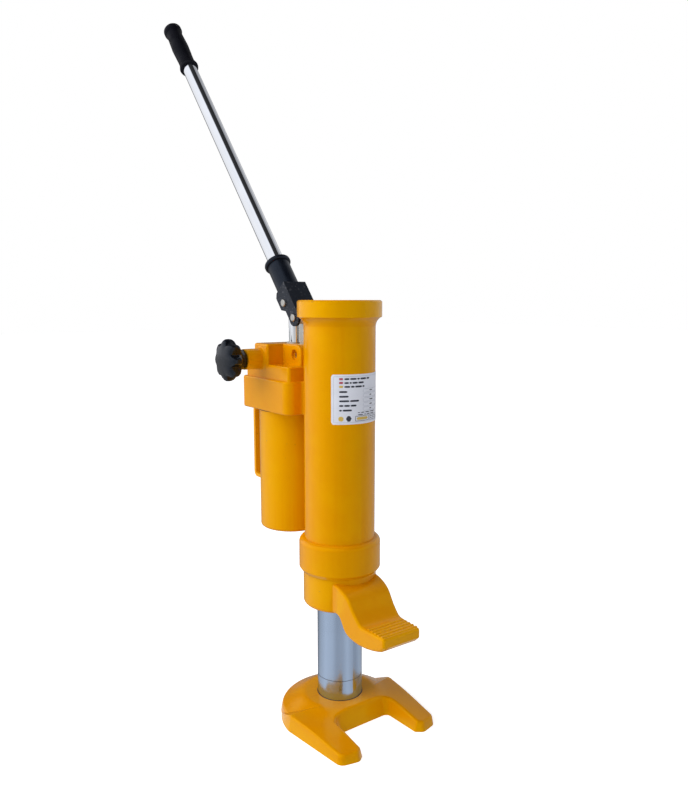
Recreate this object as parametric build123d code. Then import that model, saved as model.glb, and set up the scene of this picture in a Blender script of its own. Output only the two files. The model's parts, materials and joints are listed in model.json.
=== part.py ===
from build123d import *
import os
from math import atan2, cos, degrees, hypot, radians, sin, sqrt

# Hydraulic toe jack, 10 t class.  Millimetres, +Z up.
# Origin: on the floor, under the centre of the ram.  +X points along the lifting toe,
# the pump, the oil tank and the lever are on the -X side, the release knob on the -Y side.
# The ram stands in the base, which can turn under it.  Cylinder, toe and pump climb on the ram.

# ---------------------------------------------------------------- driving dimensions
STROKE = 230.0               # full lift of the cylinder on the ram
LIFT = 128.0                 # how far the modelled position is above fully lowered
BASE_HEIGHT = 26.0           # floor to the boss around the ram
CLOSED_HEIGHT = 397.0 + BASE_HEIGHT
HEAD_TOP = CLOSED_HEIGHT + LIFT      # load face on top of the cylinder

STATIC_GAP = 0.05            # between parts that are screwed or pushed together
RUNNING_GAP = 0.05           # radial play of parts that slide or turn on each other

RAM_RADIUS = 30.0
BORE_RADIUS = 35.0
TUBE_RADIUS = 46.0
THREAD_RADIUS = 42.0         # turned-down lower end of the tube
FLANGE_RADIUS = 54.0
COLLAR_RADIUS = 53.5
TOE_RING_RADIUS = 48.0

# heights on the moving cylinder, measured down from the load face
FLANGE_BOTTOM = HEAD_TOP - 21.0
FLARE_BOTTOM = HEAD_TOP - 33.0
BORE_TOP = HEAD_TOP - 40.0
SHOULDER = HEAD_TOP - 307.0          # full tube diameter ends, lock collar begins
COLLAR_BOTTOM = HEAD_TOP - 351.0
TUBE_BOTTOM = HEAD_TOP - 389.0
TOE_RING_BOTTOM = HEAD_TOP - 397.0

# pump block, cast in one piece with the cylinder
PLATE_REAR, PLATE_FRONT, PLATE_HALF = -172.0, -50.0, 49.0
PLATE_BOTTOM, PLATE_TOP = HEAD_TOP - 151.0, HEAD_TOP - 106.0
PLINTH_REAR, PLINTH_FRONT, PLINTH_HALF = -168.0, -52.0, 45.0
PLINTH_TOP = HEAD_TOP - 87.0
PAD_REAR, PAD_FRONT, PAD_HALF = -144.0, -107.0, 45.0
POST_FRONT, POST_HALF = -61.0, 20.0
BLOCK_TOP = HEAD_TOP - 59.0
NECK_HALF = 24.0

# pump plunger and oil tank axes
PLUNGER_X, PLUNGER_RADIUS = -107.0, 9.0
TANK_X, TANK_RADIUS, TANK_WALL = -120.0, 45.0, 4.0
TANK_BOTTOM = HEAD_TOP - 321.0

# release valve, screwed in along Y from the -Y side
RELEASE_X, RELEASE_Z = -126.0, HEAD_TOP - 80.0
RELEASE_BOSS_RADIUS, RELEASE_BOSS_END = 14.2, -71.0
KNOB_RADIUS, KNOB_FACE = 28.5, -105.0

# lever linkage: plunger pin A, link top pin B, link bottom pin C (x, z)
PIN_A = (-107.0, HEAD_TOP - 4.0)
PIN_B = (-82.0, HEAD_TOP - 23.5)
PIN_C = (-78.0, HEAD_TOP - 73.0)
PIN_RADIUS = 4.0
LEVER_LEAN = 40.4            # lever axis, degrees back from upright
FORK_INNER, FORK_OUTER = 13.5, 17.5
SOCKET_RADIUS, SOCKET_END = 16.0, 74.0
HANDLE_RADIUS, HANDLE_WALL = 11.5, 2.5
HANDLE_START, HANDLE_END = 22.0, 604.0
GRIP_LENGTH, GRIP_RADIUS = 106.0, 13.0

# horseshoe base
BASE_TURN = 1.0              # the base stands turned this many degrees under the jack
BOSS_RADIUS = 45.0           # flat top around the ram
REAR_RADIUS, REAR_RIM = 78.0, 10.5
SHOULDER_X, SHOULDER_HALF = 8.0, 87.5    # where the two prongs are widest
PRONG_TIP, PRONG_TIP_HALF = 113.0, 77.0
GAP_WALL, GAP_HALF, GAP_TIP_HALF = 52.0, 40.5, 43.0
GAP_DRAFT, SIDE_DRAFT = 15.0, 10.0
RAMP_X, RAMP_Z, RAMP_SLOPE = 6.0, 20.0, 24.0     # slope from the prongs down to the rear disc
RAM_SEAT = 14.0
FOOT_WEB = 9.0               # underside of the web that the ram stands on
FOOT_SPIGOT_RADIUS = 12.0

# lifting toe
TOE_ROOT_HALF, TOE_TIP_HALF = 34.5, 28.5
TOE_TIP = 130.5
TOE_TOP = HEAD_TOP - 395.5
TOE_UNDERSIDE = HEAD_TOP - 418.5
TOE_EDGE = 3.5
TOE_RIBS, RIB_START, RIB_PITCH = 5, 99.0, 6.4

CENTRE_MIN = (Align.CENTER, Align.CENTER, Align.MIN)


# ---------------------------------------------------------------- small helpers
def disc(radius, low, high, x=0.0, y=0.0):
    """Upright cylinder between two heights."""
    return Pos(x, y, low) * Cylinder(radius, high - low, align=CENTRE_MIN)


def ring(outer, inner, low, high, x=0.0, y=0.0):
    """Upright tube between two heights."""
    return disc(outer, low, high, x, y) - disc(inner, low, high, x, y)


def slab(x_range, y_range, z_range):
    """Box between three pairs of limits."""
    size = [high - low for low, high in (x_range, y_range, z_range)]
    centre = [(high + low) / 2 for low, high in (x_range, y_range, z_range)]
    return Pos(*centre) * Box(*size)


def rod(start, end, radius):
    """Round bar between two points."""
    path = Vector(*end) - Vector(*start)
    return extrude(Plane(origin=start, z_dir=path) * Circle(radius), path.length)


def cross_pin(pivot, half_length, radius):
    """Round bar along Y through a pivot given as (x, z)."""
    x, z = pivot
    return rod((x, -half_length, z), (x, half_length, z), radius)


def turned(profile, x=0.0, y=0.0):
    """Solid of revolution about the upright axis through (x, y), from (radius, height) points."""
    face = make_face(Polyline(*[(r, 0, z) for r, z in profile], close=True))
    return Pos(x, y, 0) * revolve(face, Axis.Z)


def turned_along_y(profile, x, z):
    """Solid of revolution about a line along Y, from (radius, y) points."""
    face = make_face(Polyline(*[(r, y, 0) for r, y in profile], close=True))
    return Pos(x, 0, z) * revolve(face, Axis.Y)


def hexagon(across_flats, low, high, x=0.0, y=0.0):
    """Upright hexagonal prism."""
    flat = RegularPolygon(across_flats / 2, 6, major_radius=False)
    return Pos(x, y, low) * extrude(flat, high - low)


def coil(radius, wire, low, high, turns, x, y):
    """Compression spring standing between two heights."""
    start = low + wire
    path = Pos(x, y, start) * Helix((high - low - 2 * wire) / turns, high - low - 2 * wire, radius)
    section = Plane(origin=path @ 0, z_dir=path % 0) * Circle(wire)
    return sweep(section, path=path, is_frenet=True)


def lever_plane(y=0.0):
    """Sketch plane of the lever: local x points to the cylinder, local y up the lever."""
    lean = radians(LEVER_LEAN)
    return Plane(origin=(PIN_A[0], y, PIN_A[1]), x_dir=(cos(lean), 0, sin(lean)), z_dir=(0, -1, 0))


def lever_axis(distance):
    """Point on the lever's axis, measured up the lever from pin A."""
    lean = radians(LEVER_LEAN)
    return (PIN_A[0] - distance * sin(lean), 0.0, PIN_A[1] + distance * cos(lean))


def lever_rod(start, end, radius):
    """Round bar on the lever's axis."""
    return rod(lever_axis(start), lever_axis(end), radius)


# ---------------------------------------------------------------- base and ram
def across(point):
    """The same point on the other side of the toe's centre plane."""
    return (point[0], -point[1])


def prong_outline():
    """Plan of the two prongs before the gap is cut: widest beside the ram, with round tips."""
    shoulder = (SHOULDER_X, SHOULDER_HALF)
    tip_side = (PRONG_TIP - 6.0, PRONG_TIP_HALF)
    tip_front = (PRONG_TIP, PRONG_TIP_HALF - 25.0)
    tip_inner = (PRONG_TIP - 11.0, GAP_TIP_HALF - 5.0)
    back = ThreePointArc(shoulder, (6.0 - REAR_RADIUS, 0), across(shoulder))
    front = Polyline(across(shoulder), across(tip_side), across(tip_front), across(tip_inner),
                     tip_inner, tip_front, tip_side, shoulder)
    face = make_face(back + front)
    face = fillet(face.vertices().filter_by(lambda v: abs(v.X - tip_side[0]) < 0.1), 11.0)
    return fillet(face.vertices().filter_by(lambda v: abs(v.X - tip_front[0]) < 0.1), 8.0)


def turned_under(slope, rim_radius):
    """Solid of revolution below a slope that starts at the boss."""
    end = slope @ 1
    rest = Polyline((end.X, 0, end.Z), (rim_radius, 0, 0), (0, 0, 0), (0, 0, BASE_HEIGHT),
                    (BOSS_RADIUS, 0, BASE_HEIGHT))
    return revolve(make_face(slope + rest), Axis.Z)


def is_prong_rim(edge):
    """True for the edges where the prongs' falling top meets the side walls."""
    centre, limits = edge.center(), edge.bounding_box()
    return hypot(centre.X, centre.Y) > BOSS_RADIUS + 1 and centre.Z > 8 and limits.size.Z < 9.5


def base_prongs():
    """Raised front part of the base, cut off at the back by a slope."""
    slope = Spline((BOSS_RADIUS, 0, BASE_HEIGHT), (62, 0, 23.0), (84, 0, 19.5), (110, 0, 14.8),
                   (145, 0, 10.0), tangents=[(1, 0, 0), (1, 0, -0.1)])
    blank = extrude(prong_outline(), BASE_HEIGHT + 4.0, taper=SIDE_DRAFT)
    body = (blank & turned_under(slope, 145)).solids()[0]
    body = fillet(body.edges().filter_by(is_prong_rim), 4.0)
    above_ramp = Pos(RAMP_X, 0, RAMP_Z) * Rot(0, -RAMP_SLOPE, 0) * Pos(0, 0, 40) * Box(400, 400, 80)
    return body - (above_ramp & slab((-200, RAMP_X + 20), (-200, 200), (0, 100)))


def base_rear():
    """Rear disc, thin at its rim."""
    slope = Spline((BOSS_RADIUS, 0, BASE_HEIGHT), (52, 0, 24.2), (66, 0, 16.5),
                   (REAR_RADIUS, 0, REAR_RIM), tangents=[(1, 0, 0), (1, 0, -0.45)])
    body = turned_under(slope, REAR_RADIUS + 2.0)
    rim = body.edges().filter_by(lambda e: abs(e.center().Z - REAR_RIM) < 1 and e.length > 60)
    return fillet(rim, 5.0) - slab((30, 200), (-200, 200), (-1, 100))


def gap_cutter():
    """The gap that the toe sinks into, wider at the top."""
    wall, tip = (GAP_WALL, GAP_HALF), (PRONG_TIP + 47.0, GAP_TIP_HALF + 2.0)
    plan = make_face(Polyline(across(wall), across(tip), tip, wall, close=True))
    plan = fillet(plan.vertices().filter_by(lambda v: v.X < GAP_WALL + 1), 7.0)
    return extrude(plan, BASE_HEIGHT + 2.0, taper=-GAP_DRAFT)


def is_gap_rim(edge):
    """True for the top edges round the gap."""
    centre, limits = edge.center(), edge.bounding_box()
    beside_gap = centre.X > BOSS_RADIUS - 3 and abs(centre.Y) < GAP_TIP_HALF + 9
    return beside_gap and centre.Z > 9 and limits.size.Z < 9.5 and abs(centre.X - PRONG_TIP) > 3


def base_casting():
    """Horseshoe foot: boss round the ram, low rear disc and two thick prongs beside the gap."""
    body = base_prongs() + base_rear() - gap_cutter()
    body = fillet(body.edges().filter_by(is_gap_rim), 4.0)
    body -= disc(RAM_RADIUS + RUNNING_GAP, RAM_SEAT, BASE_HEIGHT + 1)
    body -= disc(FOOT_SPIGOT_RADIUS + RUNNING_GAP, 0, RAM_SEAT)
    body -= disc(22.0, 0, FOOT_WEB)
    return Rot(0, 0, BASE_TURN) * body


RAM_TOP_SHOULDER = BORE_TOP - LIFT - 45.0
RAM_TOP = BORE_TOP - LIFT - 1.5
FOOT_SCREW_RADIUS = 6.0


def ram():
    """Ground and chromed column that the cylinder climbs, with a spigot that turns in the base."""
    spigot = FOOT_SPIGOT_RADIUS
    body = turned([(0, FOOT_WEB - 0.1), (spigot, FOOT_WEB - 0.1), (spigot, RAM_SEAT), (RAM_RADIUS - 1.5, RAM_SEAT),
                   (RAM_RADIUS, RAM_SEAT + 1.5), (RAM_RADIUS, RAM_TOP_SHOULDER), (18, RAM_TOP_SHOULDER),
                   (18, RAM_TOP), (0, RAM_TOP)])
    return body - disc(FOOT_SCREW_RADIUS + STATIC_GAP, FOOT_WEB - 1, RAM_SEAT + 30.0)


def foot_washer():
    """Thick washer under the web, which keeps the base on the ram."""
    return ring(20.0, FOOT_SCREW_RADIUS + STATIC_GAP, FOOT_WEB - 4.1, FOOT_WEB - 0.1)


def foot_screw():
    """Low-head socket screw that clamps the washer to the ram's spigot."""
    low, seat = 0.8, FOOT_WEB - 4.1
    head = disc(10.0, low, seat) - hexagon(8.0, low, seat - 1.2)
    return head + disc(FOOT_SCREW_RADIUS, seat, RAM_SEAT + 26.0)


def ram_stop_ring():
    """Guide ring on the ram's top, which also stops the cylinder at full lift."""
    low, high = RAM_TOP_SHOULDER, RAM_TOP_SHOULDER + 28.0
    body = ring(BORE_RADIUS - 0.4, 18 + STATIC_GAP, low, high)
    body -= ring(BORE_RADIUS, BORE_RADIUS - 3.0, low + 9.0, high - 9.0)
    for turn in range(4):
        slot = slab((BORE_RADIUS - 4.5, BORE_RADIUS + 1), (-3, 3), (low, high))
        body -= Rot(0, 0, 45 + 90 * turn) * slot
    return body


def ram_guide_band():
    """Split bearing strip in the stop ring's groove."""
    low, high = RAM_TOP_SHOULDER + 9.0 + STATIC_GAP, RAM_TOP_SHOULDER + 19.0 - STATIC_GAP
    band = ring(BORE_RADIUS - RUNNING_GAP, BORE_RADIUS - 3.0 + STATIC_GAP, low, high)
    return band - slab((0, BORE_RADIUS + 1), (-1, 1), (low, high))


def ram_ring_nut():
    """Nut that clamps the stop ring."""
    low, high = RAM_TOP_SHOULDER + 28.0, RAM_TOP - 1.5
    return hexagon(50.0, low, high) - disc(18 + STATIC_GAP, low, high)


# ---------------------------------------------------------------- cylinder and pump block
def head_and_tube():
    """Tube with a flanged load head, and a turned-down lower end for the toe casting."""
    flare = ThreePointArc((TUBE_RADIUS, 0, FLARE_BOTTOM), (TUBE_RADIUS + 1.6, 0, FLARE_BOTTOM + 6.5),
                          (FLANGE_RADIUS - 2.0, 0, FLANGE_BOTTOM - 0.8))
    edges = Polyline((FLANGE_RADIUS - 2.0, 0, FLANGE_BOTTOM - 0.8), (FLANGE_RADIUS, 0, FLANGE_BOTTOM),
                     (FLANGE_RADIUS, 0, HEAD_TOP - 2.0), (FLANGE_RADIUS - 2.0, 0, HEAD_TOP),
                     (0, 0, HEAD_TOP), (0, 0, TUBE_BOTTOM), (THREAD_RADIUS, 0, TUBE_BOTTOM),
                     (THREAD_RADIUS, 0, SHOULDER), (TUBE_RADIUS, 0, SHOULDER),
                     (TUBE_RADIUS, 0, FLARE_BOTTOM))
    return revolve(make_face(flare + edges), Axis.Z)


def plate_block():
    """Lower plate of the pump block with the neck that joins it to the tube."""
    plate = Pos((PLATE_REAR + PLATE_FRONT) / 2, 0) * Rectangle(PLATE_FRONT - PLATE_REAR, 2 * PLATE_HALF)
    neck = Pos(PLATE_FRONT / 2, 0) * Rectangle(-PLATE_FRONT + 2, 2 * NECK_HALF)
    plan = plate + neck + Circle(TUBE_RADIUS - 2)
    outer = plan.vertices().filter_by(lambda v: abs(v.Y) > PLATE_HALF - 1)
    plan = fillet(outer.group_by(Axis.X)[-1], 12.6)
    rear = plan.vertices().filter_by(lambda v: v.X < PLATE_REAR + 1)
    plan = fillet(rear, 4.0)
    inner = plan.vertices().filter_by(lambda v: abs(abs(v.Y) - NECK_HALF) < 1 and v.X < -30)
    plan = fillet(inner, 4.5)
    solid = extrude(Pos(0, 0, PLATE_BOTTOM) * plan, PLATE_TOP - PLATE_BOTTOM)
    rims = solid.edges().filter_by(lambda e: e.center().Z in (PLATE_BOTTOM, PLATE_TOP) and e.center().X < -40)
    return fillet(rims, 2.5)


def upper_block():
    """Plinth, valve pad and pump post on top of the plate."""
    plinth = slab((PLINTH_REAR, PLINTH_FRONT), (-PLINTH_HALF, PLINTH_HALF), (PLATE_TOP - 5, PLINTH_TOP))
    plinth = fillet(plinth.edges().filter_by(Axis.Z), 4.0)
    plinth = fillet(plinth.edges().group_by(Axis.Z)[-1], 2.0)
    web = slab((PLINTH_FRONT - 5, -40), (-NECK_HALF + 4, NECK_HALF - 4), (PLATE_TOP - 5, PLINTH_TOP))
    pad = slab((PAD_REAR, PAD_FRONT), (-PAD_HALF, PAD_HALF), (PLATE_TOP - 5, BLOCK_TOP))
    pad = fillet(pad.edges().filter_by(Axis.Z), 3.0)
    pad = fillet(pad.edges().group_by(Axis.Z)[-1], 3.0)
    post = slab((PAD_FRONT - 5, POST_FRONT), (-POST_HALF, POST_HALF), (PLATE_TOP - 5, BLOCK_TOP))
    nose = post.edges().filter_by(Axis.Y).group_by(Axis.Z)[-1].sort_by(Axis.X)[-1]
    post = fillet(nose, 13.0)
    post = fillet(post.edges().filter_by(Axis.Z).sort_by(Axis.X)[-2:], 2.5)
    boss = rod((RELEASE_X, -PAD_HALF + 5, RELEASE_Z), (RELEASE_X, RELEASE_BOSS_END, RELEASE_Z),
               RELEASE_BOSS_RADIUS)
    boss += turned_along_y([(0, -PAD_HALF + 1), (RELEASE_BOSS_RADIUS + 3, -PAD_HALF + 1),
                            (RELEASE_BOSS_RADIUS + 3, -PAD_HALF), (RELEASE_BOSS_RADIUS + 1, -PAD_HALF - 1),
                            (RELEASE_BOSS_RADIUS, -PAD_HALF - 3.5), (0, -PAD_HALF - 3.5)],
                           RELEASE_X, RELEASE_Z)
    return plinth + web + pad + post + boss


# pump and valve drillings
GALLERY_Z = PLATE_BOTTOM + 17.0
PUMP_BOTTOM = PLATE_BOTTOM + 14.0
GLAND_DEPTH, GLAND_RADIUS = 16.0, 12.5
SPIGOT_BOTTOM = PLATE_BOTTOM - 12.0
DELIVERY_X, DELIVERY_Y, DELIVERY_SEAT = -88.0, 31.0, PLATE_BOTTOM + 25.0
RELIEF_X, RELIEF_SEAT = -146.0, 16.0
VALVE_RADIUS = 6.5
OIL_WAY = 2.5
RELEASE_SEAT = -20.0
FILLER_X, FILLER_Y = -156.0, 18.0
SUCTION_SEAT = PLATE_BOTTOM + 1.0
SUCTION_X = PLUNGER_X


def drillings():
    """Every bore and oil way of the casting, as one tool."""
    bore = disc(BORE_RADIUS, TUBE_BOTTOM - 1, BORE_TOP)
    pump = disc(PLUNGER_RADIUS + RUNNING_GAP, PUMP_BOTTOM, BLOCK_TOP + 1, PLUNGER_X)
    gland = disc(GLAND_RADIUS, BLOCK_TOP - GLAND_DEPTH, BLOCK_TOP + 1, PLUNGER_X)
    suction = disc(3.2, SPIGOT_BOTTOM - 1, SUCTION_SEAT + 1, SUCTION_X)
    suction += disc(5.5, SUCTION_SEAT, PUMP_BOTTOM + 1, SUCTION_X)
    pipe_socket = disc(4.0 + STATIC_GAP, SPIGOT_BOTTOM - 1, SPIGOT_BOTTOM + 8, SUCTION_X)
    delivery = disc(VALVE_RADIUS, DELIVERY_SEAT, PLINTH_TOP + 1, DELIVERY_X, DELIVERY_Y)
    delivery += disc(OIL_WAY, GALLERY_Z - OIL_WAY, DELIVERY_SEAT + 1, DELIVERY_X, DELIVERY_Y)
    delivery += rod((PLUNGER_X, 0, GALLERY_Z), (DELIVERY_X, DELIVERY_Y, GALLERY_Z), OIL_WAY)
    out_z = DELIVERY_SEAT + 8.0
    gallery = rod((DELIVERY_X, DELIVERY_Y, out_z), (-33.0, 6.0, out_z), OIL_WAY)
    gallery += rod((DELIVERY_X, DELIVERY_Y, out_z), (RELIEF_X, 8.0, out_z), OIL_WAY)
    relief = rod((RELIEF_X, 8.0 - OIL_WAY, out_z), (RELIEF_X, RELIEF_SEAT + 1, out_z), OIL_WAY)
    relief += rod((RELIEF_X, RELIEF_SEAT, out_z), (RELIEF_X, PLATE_HALF + 1, out_z), VALVE_RADIUS)
    relief += disc(OIL_WAY, SPIGOT_BOTTOM - 1, out_z, RELIEF_X, RELIEF_SEAT + 9)
    release = rod((RELEASE_X, RELEASE_SEAT, RELEASE_Z), (RELEASE_X, RELEASE_BOSS_END - 1, RELEASE_Z),
                  VALVE_RADIUS)
    release += rod((RELEASE_X, RELEASE_SEAT - 1, RELEASE_Z), (RELEASE_X, 18.0, RELEASE_Z), OIL_WAY)
    release += disc(OIL_WAY, out_z - OIL_WAY, RELEASE_Z, RELEASE_X, 18.0)
    release += disc(OIL_WAY, SPIGOT_BOTTOM - 1, RELEASE_Z, RELEASE_X, RELEASE_SEAT - 7.0)
    filler = disc(6.0, SPIGOT_BOTTOM - 1, PLINTH_TOP + 1, FILLER_X, FILLER_Y)
    filler += disc(11.0, PLINTH_TOP - 5.0, PLINTH_TOP + 1, FILLER_X, FILLER_Y)
    return [bore, pump, gland, suction, pipe_socket, delivery, gallery, relief, release, filler]


LINK_HALF = 6.0
HANDLE_SCREW_DROPS = (14.0, 28.0)


def cylinder_housing():
    """Cylinder with its load head, neck and pump block, one casting."""
    body = head_and_tube() + plate_block() + upper_block()
    body += disc(TANK_RADIUS - TANK_WALL - 1.0, SPIGOT_BOTTOM, PLATE_BOTTOM + 1, TANK_X)
    for tool in drillings():
        body -= tool
    body -= slab((PIN_C[0] - 12.0, POST_FRONT + 1), (-LINK_HALF - 0.5, LINK_HALF + 0.5),
                 (PIN_C[1] - 12.0, BLOCK_TOP + 1))
    body -= cross_pin(PIN_C, POST_HALF + 1, 5.0 + STATIC_GAP)
    for side in (-1, 1):
        x, z = PIN_C
        body -= rod((x, side * (POST_HALF - 4.0), z), (x, side * (POST_HALF + 1), z), 7.2)
    for drop in HANDLE_SCREW_DROPS:
        z = PLATE_TOP - drop
        body -= rod((PLATE_REAR - 1, 0, z), (PLATE_REAR + 14, 0, z), 3.0 + STATIC_GAP)
    return body


# ---------------------------------------------------------------- seals and guides of the cylinder
GLAND_TOP = RAM_TOP_SHOULDER - (STROKE - LIFT) - 0.5
ROD_SEAL_LOW = TUBE_BOTTOM + 32.0
O_RING_LOW = TUBE_BOTTOM + 16.0
WIPER_LOW = TOE_RING_BOTTOM + 2.0


def gland_bush():
    """Bronze guide bush in the mouth of the cylinder."""
    body = ring(BORE_RADIUS - STATIC_GAP, RAM_RADIUS + RUNNING_GAP, TUBE_BOTTOM, GLAND_TOP)
    body -= disc(RAM_RADIUS + 3.2, ROD_SEAL_LOW, ROD_SEAL_LOW + 10.0)
    return body - ring(BORE_RADIUS + 1, BORE_RADIUS - 2.8, O_RING_LOW, O_RING_LOW + 4.0)


def gland_o_ring():
    """Static seal between gland bush and bore."""
    centre = BORE_RADIUS - 1.42
    return Pos(0, 0, O_RING_LOW + 2.0) * Torus(centre, 1.34)


def rod_seal():
    """Lip seal on the ram."""
    low, high = ROD_SEAL_LOW + STATIC_GAP, ROD_SEAL_LOW + 10.0 - STATIC_GAP
    outer, inner = RAM_RADIUS + 3.15, RAM_RADIUS + RUNNING_GAP
    return turned([(inner, low), (outer, low), (outer, high), (outer - 1.0, high),
                   (outer - 1.6, high - 4.0), (inner + 0.6, high), (inner, high)])


def rod_wiper():
    """Wiper ring in the mouth of the toe casting."""
    low, high = WIPER_LOW + STATIC_GAP, WIPER_LOW + 4.5 - STATIC_GAP
    inner = RAM_RADIUS + RUNNING_GAP
    return turned([(inner + 1.0, low), (RAM_RADIUS + 3.9, low), (RAM_RADIUS + 3.9, high), (inner, high),
                   (inner, high - 1.5)])


def lock_collar():
    """Screwed collar that locks the toe casting on the tube."""
    inner = THREAD_RADIUS + STATIC_GAP
    body = ring(COLLAR_RADIUS, inner, COLLAR_BOTTOM, SHOULDER)
    top = body.edges().group_by(Axis.Z)[-1].sort_by(SortBy.RADIUS)[-1]
    body = fillet(top, 7.0)
    bottom = body.edges().group_by(Axis.Z)[0].sort_by(SortBy.RADIUS)[-1]
    return chamfer(bottom, 4.5, 3.2)


# ---------------------------------------------------------------- lifting toe
def toe_profile():
    """Side view of the toe: shoulder, S-shaped back, ribbed platform and round tip."""
    shoulder = (30.0, COLLAR_BOTTOM - 5.0)
    back = Spline(shoulder, (48.0, COLLAR_BOTTOM - 8.5), (64.0, COLLAR_BOTTOM - 17.0),
                  (74.0, COLLAR_BOTTOM - 30.0), (84.0, TOE_TOP + 4.0), (97.0, TOE_TOP),
                  tangents=[(1, -0.05), (1, 0)])
    platform = Line((97.0, TOE_TOP), (TOE_TIP - 2.0, TOE_TOP))
    belly = Spline((TOE_TIP - 6.0, TOE_TOP - 18.0), (106.0, TOE_UNDERSIDE), (70.0, TOE_UNDERSIDE),
                   (57.0, TOE_UNDERSIDE + 6.0), (46.0, TOE_RING_BOTTOM), (30.0, TOE_RING_BOTTOM + 2.0),
                   tangents=[(-1, -0.35), (-1, 0)])
    tip = Polyline((TOE_TIP - 2.0, TOE_TOP), (TOE_TIP, TOE_TOP - 2.5), (TOE_TIP, TOE_TOP - 12.0),
                   (TOE_TIP - 6.0, TOE_TOP - 18.0))
    root = Line((30.0, TOE_RING_BOTTOM + 2.0), shoulder)
    return [back, platform, tip, belly, root]


def toe_ribs():
    """Five low round ribs across the platform."""
    ribs = []
    for index in range(TOE_RIBS):
        x = RIB_START + index * RIB_PITCH
        half = TOE_TIP_HALF - 1.5
        rib = rod((x, -half, TOE_TOP - 1.5), (x, half, TOE_TOP - 1.5), 2.7)
        ribs.append(rib)
    return ribs


def toe_casting():
    """Ring that screws on the cylinder's lower end, with the lifting toe in one piece."""
    outline = [edge for curve in toe_profile() for edge in curve.edges()]
    side_view = make_face(outline)
    toe = extrude(Plane((0, 50, 0), x_dir=(1, 0, 0), z_dir=(0, -1, 0)) * side_view, 100)
    root, tip = (45.0, TOE_ROOT_HALF), (TOE_TIP + 1.0, TOE_TIP_HALF)
    plan = Polyline((20, TOE_ROOT_HALF), root, tip, across(tip), across(root), (20, -TOE_ROOT_HALF), close=True)
    toe &= extrude(Pos(0, 0, TOE_UNDERSIDE - 5) * make_face(plan), 100)
    corners = toe.edges().filter_by(Axis.Y, reverse=True).filter_by(lambda e: e.center().X > 50)
    toe = fillet(corners, TOE_EDGE)
    body = disc(TOE_RING_RADIUS, TOE_RING_BOTTOM, COLLAR_BOTTOM)
    body = fillet(body.edges().group_by(Axis.Z)[0], 5.0)
    body += toe
    for rib in toe_ribs():
        body += rib
    body -= disc(THREAD_RADIUS + STATIC_GAP, TUBE_BOTTOM, COLLAR_BOTTOM + 1)
    body -= disc(RAM_RADIUS + 0.8, TOE_RING_BOTTOM - 1, TUBE_BOTTOM + 1)
    body -= disc(RAM_RADIUS + 4.0, WIPER_LOW, WIPER_LOW + 4.5)
    return body


# ---------------------------------------------------------------- oil tank
def oil_tank():
    """Cup screwed on the spigot under the pump block."""
    top = PLATE_BOTTOM - 1.5
    body = disc(TANK_RADIUS, TANK_BOTTOM, top, TANK_X)
    body = fillet(body.edges().group_by(Axis.Z)[0], 4.0)
    return body - disc(TANK_RADIUS - TANK_WALL, TANK_BOTTOM + 5.0, top + 1, TANK_X)


def tank_gasket():
    """Flat ring between tank rim and block."""
    return ring(TANK_RADIUS - 0.3, TANK_RADIUS - TANK_WALL, PLATE_BOTTOM - 1.5, PLATE_BOTTOM, TANK_X)


def suction_pipe():
    """Pipe from the pump down to the strainer."""
    return ring(4.0, 2.5, TANK_BOTTOM + 22.0, SPIGOT_BOTTOM + 8.0 - STATIC_GAP, SUCTION_X)


def suction_strainer():
    """Drum strainer on the pipe's lower end."""
    low, high = TANK_BOTTOM + 10.0, TANK_BOTTOM + 34.0
    body = ring(10.0, 8.5, low, high, SUCTION_X)
    body += disc(10.0, low, low + 1.5, SUCTION_X)
    body += ring(10.0, 4.0 + STATIC_GAP, high - 2.0, high, SUCTION_X)
    for turn in range(6):
        window = slab((7.0, 12.0), (-2.5, 2.5), (low + 4.0, high - 5.0))
        body -= Pos(SUCTION_X, 0, 0) * Rot(0, 0, 60 * turn) * window
    return body


def filler_plug():
    """Countersunk filler plug with a hexagon socket."""
    top = PLINTH_TOP - 0.5
    body = disc(10.5, top - 3.0, top, FILLER_X, FILLER_Y)
    body += disc(6.0 - STATIC_GAP, top - 18.0, top - 3.0, FILLER_X, FILLER_Y)
    return body - hexagon(8.0, top - 6.0, top + 1, FILLER_X, FILLER_Y)


def filler_seal():
    """Copper ring under the filler plug's head."""
    return ring(10.5, 6.2, PLINTH_TOP - 5.0, PLINTH_TOP - 3.5, FILLER_X, FILLER_Y)


# ---------------------------------------------------------------- pump valves
def pump_gland_nut():
    """Screwed bush that guides the plunger and holds its seal down."""
    low, high = BLOCK_TOP - 10.0, BLOCK_TOP + 1.5
    body = disc(GLAND_RADIUS - STATIC_GAP, low, high, PLUNGER_X)
    body -= disc(PLUNGER_RADIUS + RUNNING_GAP, low, high, PLUNGER_X)
    for turn in (0, 180):
        body -= Pos(PLUNGER_X, 0, 0) * Rot(0, 0, turn) * slab((9.5, 13), (-1.5, 1.5), (high - 2.0, high))
    return body


def pump_seal():
    """Lip seal around the pump plunger."""
    low, high = BLOCK_TOP - GLAND_DEPTH, BLOCK_TOP - 10.0
    outer, inner = GLAND_RADIUS - STATIC_GAP, PLUNGER_RADIUS + RUNNING_GAP
    return turned([(inner, low), (inner + 0.7, low), (inner + 1.6, low + 2.5), (outer - 0.6, low),
                   (outer, low), (outer, high), (inner, high)], PLUNGER_X)


SUCTION_BALL, DELIVERY_BALL, SMALL_BALL = 4.5, 5.0, 3.5


def ball_rise(ball, seat_hole):
    """Height of a ball's centre above the edge it rests on."""
    return sqrt(ball**2 - seat_hole**2)


def suction_ball():
    """Ball that lets oil in from the tank."""
    return Pos(SUCTION_X, 0, SUCTION_SEAT + ball_rise(SUCTION_BALL, 3.2)) * Sphere(SUCTION_BALL)


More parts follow.
